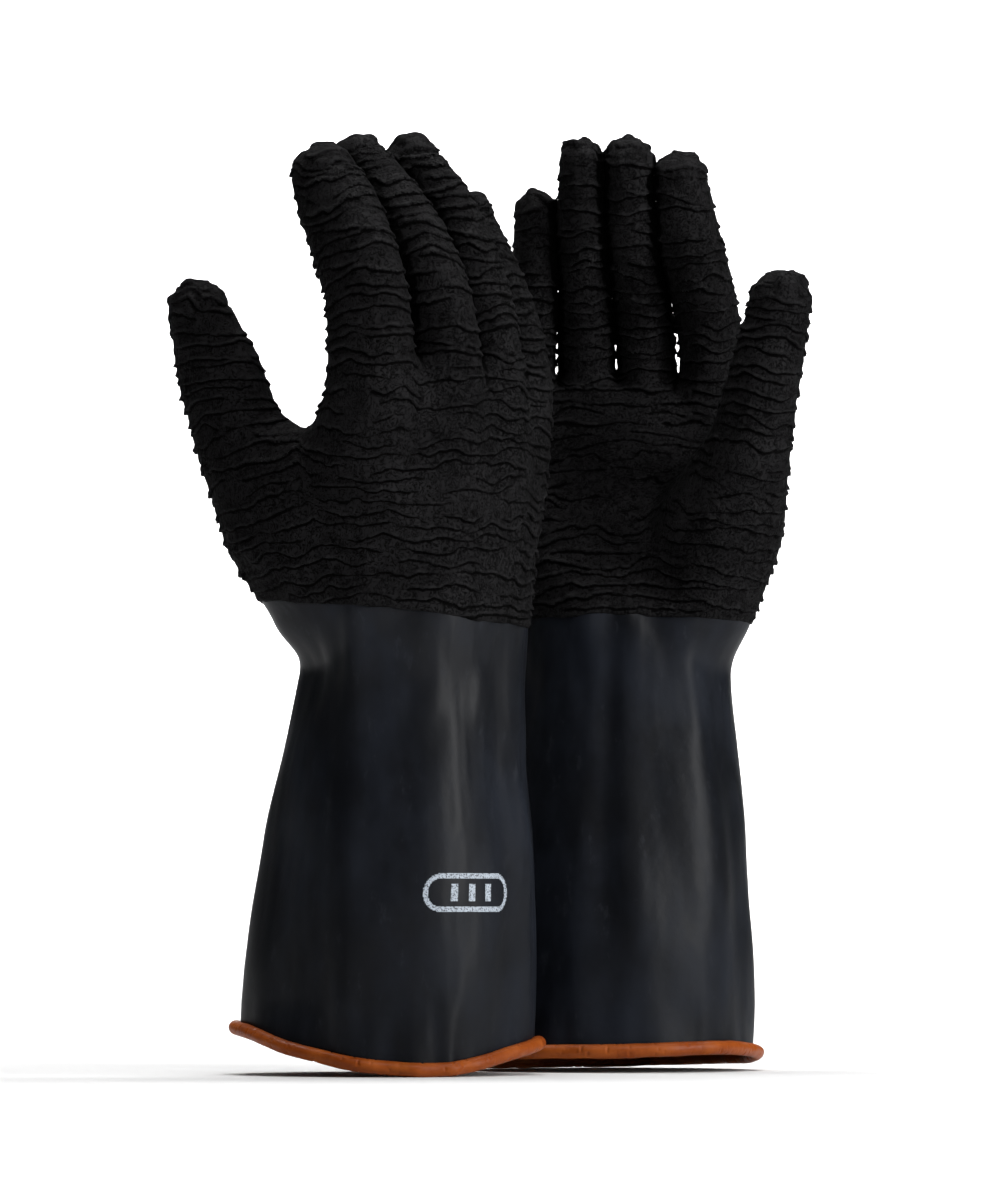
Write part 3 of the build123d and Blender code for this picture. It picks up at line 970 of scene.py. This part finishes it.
def crinkle_rubber():
    """Matt black crinkled rubber with crepe wrinkles: a painted highlight makes the ridge tops paler,
    painted shadow darkens the grooves, and painted shade darkens the crepe wrinkles' valleys and the
    crevices between digits.
    """
    n = Nodes("crinkle_rubber")
    # tone from the mesh: the coat's painted light and shade
    tone = n.add("ShaderNodeAttribute", attribute_name="tone").outputs["Fac"]
    patches = n.ramp(n.noise(26.0, 3.0), 0.35, 0.7)
    wriggle = n.noise(2.5, 2.0, 0.5, (1, 1, 1.2), 1.8)
    folded = n.add("ShaderNodeMath", {0: wriggle, 1: 0.5}, operation="SUBTRACT").outputs[0]
    valleys = n.add("ShaderNodeMath", {0: folded}, operation="ABSOLUTE").outputs[0]
    # plateau falls to 0 in the valleys of the crepe wrinkles: it drives their bump and their painted shade
    plateau = n.ramp(valleys, 0.0, 0.075)
    base = n.mix(patches, (0.0078, 0.0077, 0.0081, 1), (0.0112, 0.0110, 0.0116, 1))
    # painted shade: near black in the valleys of the crepe wrinkles
    painted_crepe_shade = n.mix(plateau, (0.0008, 0.0008, 0.0008, 1), base)
    # painted highlight: paler where the tone is high, on the ridge tops
    painted_crest_highlight = n.mix(n.ramp(tone, 0.45, 1.0, 0.0, 0.7), painted_crepe_shade, (0.0155, 0.0153, 0.0160, 1))
    # painted shadow and shade: near black where the tone is low, in the grooves and the crevices between
    # digits
    colour = n.mix(n.ramp(tone, -0.55, -0.05, 1.0, 0.0), painted_crest_highlight, (0.0006, 0.0006, 0.0006, 1))
    crepe = n.bump(plateau, 0.9, 0.4)
    grain = n.bump(n.noise(0.35, 2.0, 0.6), 0.25, 0.12, crepe)
    n.shader.inputs["Specular IOR Level"].default_value = 0.025
    return n.finish(colour, n.ramp(patches, 0, 1, 0.72, 0.62), grain)


def smooth_rubber():
    """Smooth blue-black rubber, semi-matt, clouded by handling, with faint vertical draw marks."""
    n = Nodes("smooth_rubber")
    clouds = n.ramp(n.noise(34.0, 4.0, 0.6, (1, 1, 1.8)), 0.35, 0.72)
    scuffs = n.ramp(n.noise(5.0, 4.0, 0.7, (1, 1, 2.5)), 0.55, 0.75)
    base = n.mix(clouds, (0.0030, 0.0036, 0.0052, 1), (0.0068, 0.0088, 0.0138, 1))
    colour = n.mix(n.ramp(scuffs, 0, 1, 0.0, 0.4), base, (0.017, 0.019, 0.0245, 1))
    cloudy, scuffed = n.ramp(clouds, 0, 1, 0.42, 0.54), n.ramp(scuffs, 0, 1, 0.0, 0.1)
    roughness = n.add("ShaderNodeMath", {0: cloudy, 1: scuffed})
    dimples = n.bump(n.noise(4.5, 3.0, 0.5), 0.25, 0.35)
    grain = n.bump(n.noise(0.5, 2.0, 0.6), 0.12, 0.06, dimples)
    n.shader.inputs["Specular IOR Level"].default_value = 0.12
    return n.finish(colour, roughness.outputs[0], grain)


def orange_rubber():
    """Burnt-orange rubber, satin, darker and dirtier in patches."""
    n = Nodes("orange_rubber")
    tone = n.ramp(n.noise(14.0, 4.0, 0.6), 0.35, 0.7)
    grime = n.ramp(n.noise(3.0, 5.0, 0.7), 0.56, 0.8)
    base = n.mix(tone, (0.215, 0.041, 0.004, 1), (0.31, 0.072, 0.009, 1))
    colour = n.mix(n.ramp(grime, 0, 1, 0.0, 0.45), base, (0.15, 0.04, 0.012, 1))
    wrinkles = n.bump(n.noise(2.2, 4.0, 0.6), 0.3, 0.3)
    n.shader.inputs["Specular IOR Level"].default_value = 0.15
    return n.finish(colour, n.ramp(tone, 0, 1, 0.4, 0.52), wrinkles)


def worn_ink():
    """Pale grey-blue ink, stippled where it has worn."""
    n = Nodes("worn_ink")
    worn = n.ramp(n.noise(0.55, 2.0, 0.6), 0.40, 0.5)
    colour = n.mix(worn, (0.05, 0.055, 0.065, 1), (0.37, 0.42, 0.48, 1))
    return n.finish(colour, 0.6, n.bump(worn, 0.3, 0.05))


def stage_material():
    """Plain near-white board."""
    n = Nodes("pale_floor")
    tone = n.mix(n.noise(300.0, 2.0), (0.72, 0.72, 0.72, 1), (0.76, 0.76, 0.76, 1))
    return n.finish(tone, 0.85, n.bump(n.noise(4.0), 0.02, 0.2))


# ------------------------------------------------------------------ stage
def floor():
    """A pale sweep: a floor that curves up into a wall far behind the gloves."""
    wide, near, far, tall, curve = 7.0, -6.0, 4.0, 4.0, 1.2
    steps = 16
    profile = [(near, 0.0)]
    for k in range(steps + 1):
        a = math.pi / 2 * k / steps
        profile.append((far - curve + curve * math.sin(a), curve - curve * math.cos(a)))
    profile.append((far, tall))
    points = np.array([(x, y, z) for y, z in profile for x in (-wide, wide)])
    quads = np.array([(2 * k, 2 * k + 1, 2 * k + 3, 2 * k + 2) for k in range(len(profile) - 1)])
    made = make_object("floor", points, quads)
    made.data.materials.append(stage_material())


def lamp(name, place, target, size, power, spread=180.0):
    data = bpy.data.lights.new(name, "AREA")
    data.shape = "RECTANGLE"
    data.size, data.size_y = size
    data.energy = power
    data.spread = math.radians(spread)
    made = bpy.data.objects.new(name, data)
    made.location = place
    made.rotation_euler = (Vector(target) - Vector(place)).to_track_quat("-Z", "Y").to_euler()
    bpy.context.scene.collection.objects.link(made)


def lights():
    target = (0, 0, 0.18)
    lamp("top", (0.35, -0.95, 1.5), target, (1.0, 0.45), 11.5)
    lamp("strip", (1.45, -0.7, 0.6), target, (0.3, 1.2), 24.0)
    lamp("floor", (0.0, 0.5, 1.9), (0, 0.6, 0), (1.6, 0.6), 18.0, spread=100.0)
    lamp("apron", (0.0, -0.95, 0.8), (0.0, -0.95, 0.0), (1.8, 0.6), 12.0, spread=75.0)
    lamp("distance", (0.0, 1.9, 1.9), (0, 2.0, 0), (1.8, 0.6), 18.0, spread=90.0)
    lamp("backdrop", (0.0, 2.6, 1.9), (0, 4.0, 0.3), (1.0, 0.5), 32.0, spread=80.0)
    world = bpy.data.worlds.new("studio")
    world.use_nodes = True
    world.node_tree.nodes["Background"].inputs["Color"].default_value = (1, 1, 1, 1)
    world.node_tree.nodes["Background"].inputs["Strength"].default_value = 0.05
    bpy.context.scene.world = world
    bpy.context.scene.view_settings.view_transform = "Standard"


CAMERA_DISTANCE = 3.0
CAMERA_HEIGHT = 0.06
FRAME_HEIGHT = 0.4568
TARGET_HEIGHT = 0.1805
SENSOR = 24.0


def camera(shape):
    """The view: level with the hands, square to the row's X axis, framed on the front glove's plane."""
    data = bpy.data.cameras.new("camera")
    data.sensor_fit = "VERTICAL"
    data.sensor_height = SENSOR
    data.lens = SENSOR * CAMERA_DISTANCE / FRAME_HEIGHT
    data.clip_end = 20.0
    x, y = shape.origin[0] * MM + 0.0347, shape.origin[1] * MM
    target = Vector((x, y, TARGET_HEIGHT))
    made = bpy.data.objects.new("camera", data)
    made.location = (x, y - CAMERA_DISTANCE, CAMERA_HEIGHT)
    made.rotation_euler = (target - made.location).to_track_quat("-Z", "Y").to_euler()
    bpy.context.scene.collection.objects.link(made)
    bpy.context.scene.camera = made


# ------------------------------------------------------------------ the scene
shapes = {name: Shape(name) for name in GLOVES}
camera(shapes["front"])
lights()
floor()
coat, smooth, orange, ink = crinkle_rubber(), smooth_rubber(), orange_rubber(), worn_ink()
for each in shapes.values():
    hand_skin(each, coat)
    hand_lining(each, orange)
    cuff(each, smooth, orange)
    bead(each, orange)
mark(shapes["front"], ink)
